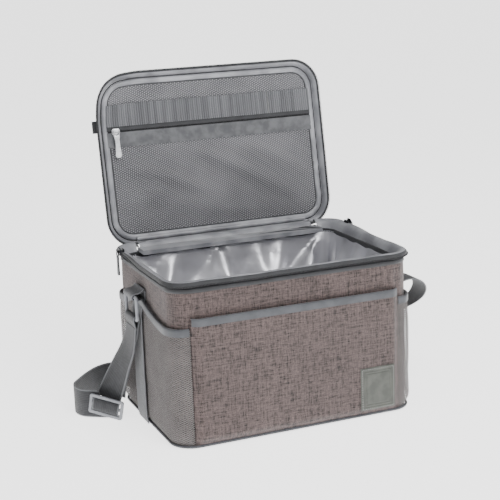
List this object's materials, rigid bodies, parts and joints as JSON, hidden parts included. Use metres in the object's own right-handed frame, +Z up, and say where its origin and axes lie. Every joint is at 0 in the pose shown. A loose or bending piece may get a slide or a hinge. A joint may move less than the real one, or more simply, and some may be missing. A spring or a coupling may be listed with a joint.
{
  "type": "insulated cooler bag",
  "caption": "Soft insulated cooler bag with a zipped hinged lid, foil-look lining, front and mesh side pockets, and an adjustable shoulder strap.",
  "frame": {"origin": "centre of the base's underside, on the surface that the bag stands on", "axes": "+Z up, front pocket towards -Y, lid hinge along the back at +Y, +X to the right seen from the front"},
  "size_m": [0.4705, 0.3028, 0.4219],
  "materials": {
    "outer_cloth": "matte",
    "lining": "satin",
    "insulation": "matte",
    "board": "matte",
    "binding": "matte",
    "zip_tape": "matte",
    "zip_coil": "satin",
    "mesh": "matte",
    "webbing": "matte",
    "grip": "matte",
    "label": "satin",
    "buckle_plastic": "satin",
    "pocket_slider_metal": "satin",
    "main_slider_metal": "satin"
  },
  "bodies": {
    "root": {"front_panel": "outer_cloth", "back_panel": "outer_cloth", "left_panel": "outer_cloth", "right_panel": "outer_cloth", "base_panel": "outer_cloth", "front_pocket": "outer_cloth", "liner": "lining", "foam_base": "insulation", "foam_front": "insulation", "foam_back": "insulation", "foam_left": "insulation", "foam_right": "insulation", "base_board": "board", "rim_binding": "binding", "front_pocket_binding": "binding", "side_pocket_binding_left": "binding", "side_pocket_binding_right": "binding", "hinge_strip_lower": "binding", "body_zip_tape": "zip_tape", "body_zip_coil": "zip_coil", "side_pocket_left": "mesh", "side_pocket_right": "mesh", "side_webbing_left": "webbing", "side_webbing_right": "webbing", "strap_tab_left": "webbing", "strap_tab_right": "webbing", "strap_strand_front": "webbing", "strap_strand_rear": "webbing", "strap_floor_run": "webbing", "strap_right_run": "webbing", "label_patch": "label"},
    "lid": {"lid_lining": "lining", "lid_foam": "insulation", "lid_panel": "outer_cloth", "lid_piping": "binding", "lid_zip_tape": "zip_tape", "lid_zip_coil": "zip_coil", "lid_border_band": "binding", "lid_mesh_lower": "mesh", "lid_mesh_upper": "mesh", "pocket_zip_tape_low": "zip_tape", "pocket_zip_tape_high": "zip_tape", "pocket_zip_coil": "zip_coil", "inner_webbing_band": "webbing", "lid_grab_tab": "webbing", "carry_handle": "webbing", "handle_grip": "grip", "hinge_strip_upper": "binding"},
    "pocket_slider": {"pocket_slider": "pocket_slider_metal"},
    "pocket_pull": {"pocket_pull": "pocket_slider_metal"},
    "main_slider_left": {"main_slider_left": "main_slider_metal"},
    "main_pull_left": {"main_pull_left": "main_slider_metal"},
    "strap_ring_left": {"strap_ring_left": "buckle_plastic", "strap_end_left": "webbing"},
    "main_slider_right": {"main_slider_right": "main_slider_metal"},
    "main_pull_right": {"main_pull_right": "main_slider_metal"},
    "strap_ring_right": {"strap_ring_right": "buckle_plastic", "strap_end_right": "webbing"},
    "tri_glide": {"tri_glide": "buckle_plastic", "strap_glide_wrap": "webbing"}
  },
  "joints": [
    {"name": "lid_hinge", "type": "hinge", "parent": "root", "child": "lid", "pos_m": [0, 0.1116, 0.2], "axis": [-1, 0, 0], "range_deg": [-100, 50]},
    {"name": "pocket_zip", "type": "slide", "parent": "lid", "child": "pocket_slider", "axis": [1, 0, 0], "range_m": [0, 0.262]},
    {"name": "pocket_pull_swing", "type": "hinge", "parent": "pocket_slider", "child": "pocket_pull", "pos_m": [-0.134, 0.14644, 0.34576], "axis": [-1, 0, 0], "range_deg": [0, 165]},
    {"name": "main_zip_left", "type": "slide", "parent": "root", "child": "main_slider_left", "axis": [0, -1, 0], "range_m": [0, 0.14]},
    {"name": "main_pull_left_swing", "type": "hinge", "parent": "main_slider_left", "child": "main_pull_left", "pos_m": [-0.16483, 0.07, 0.2035], "axis": [0, 1, 0], "range_deg": [0, 150]},
    {"name": "strap_ring_left_swing", "type": "hinge", "parent": "root", "child": "strap_ring_left", "pos_m": [-0.1695, 0.005, 0.166], "axis": [0, 1, 0], "range_deg": [0, 60]},
    {"name": "main_zip_right", "type": "slide", "parent": "root", "child": "main_slider_right", "axis": [0, -1, 0], "range_m": [0, 0.14]},
    {"name": "main_pull_right_swing", "type": "hinge", "parent": "main_slider_right", "child": "main_pull_right", "pos_m": [0.16483, 0.07, 0.2035], "axis": [0, -1, 0], "range_deg": [0, 150]},
    {"name": "strap_ring_right_swing", "type": "hinge", "parent": "root", "child": "strap_ring_right", "pos_m": [0.1695, 0.005, 0.166], "axis": [0, -1, 0], "range_deg": [0, 60]},
    {"name": "strap_adjust", "type": "slide", "parent": "root", "child": "tri_glide", "axis": [0.1201, -0.1701, 0.9781], "range_m": [0, 0.03]}
  ]
}
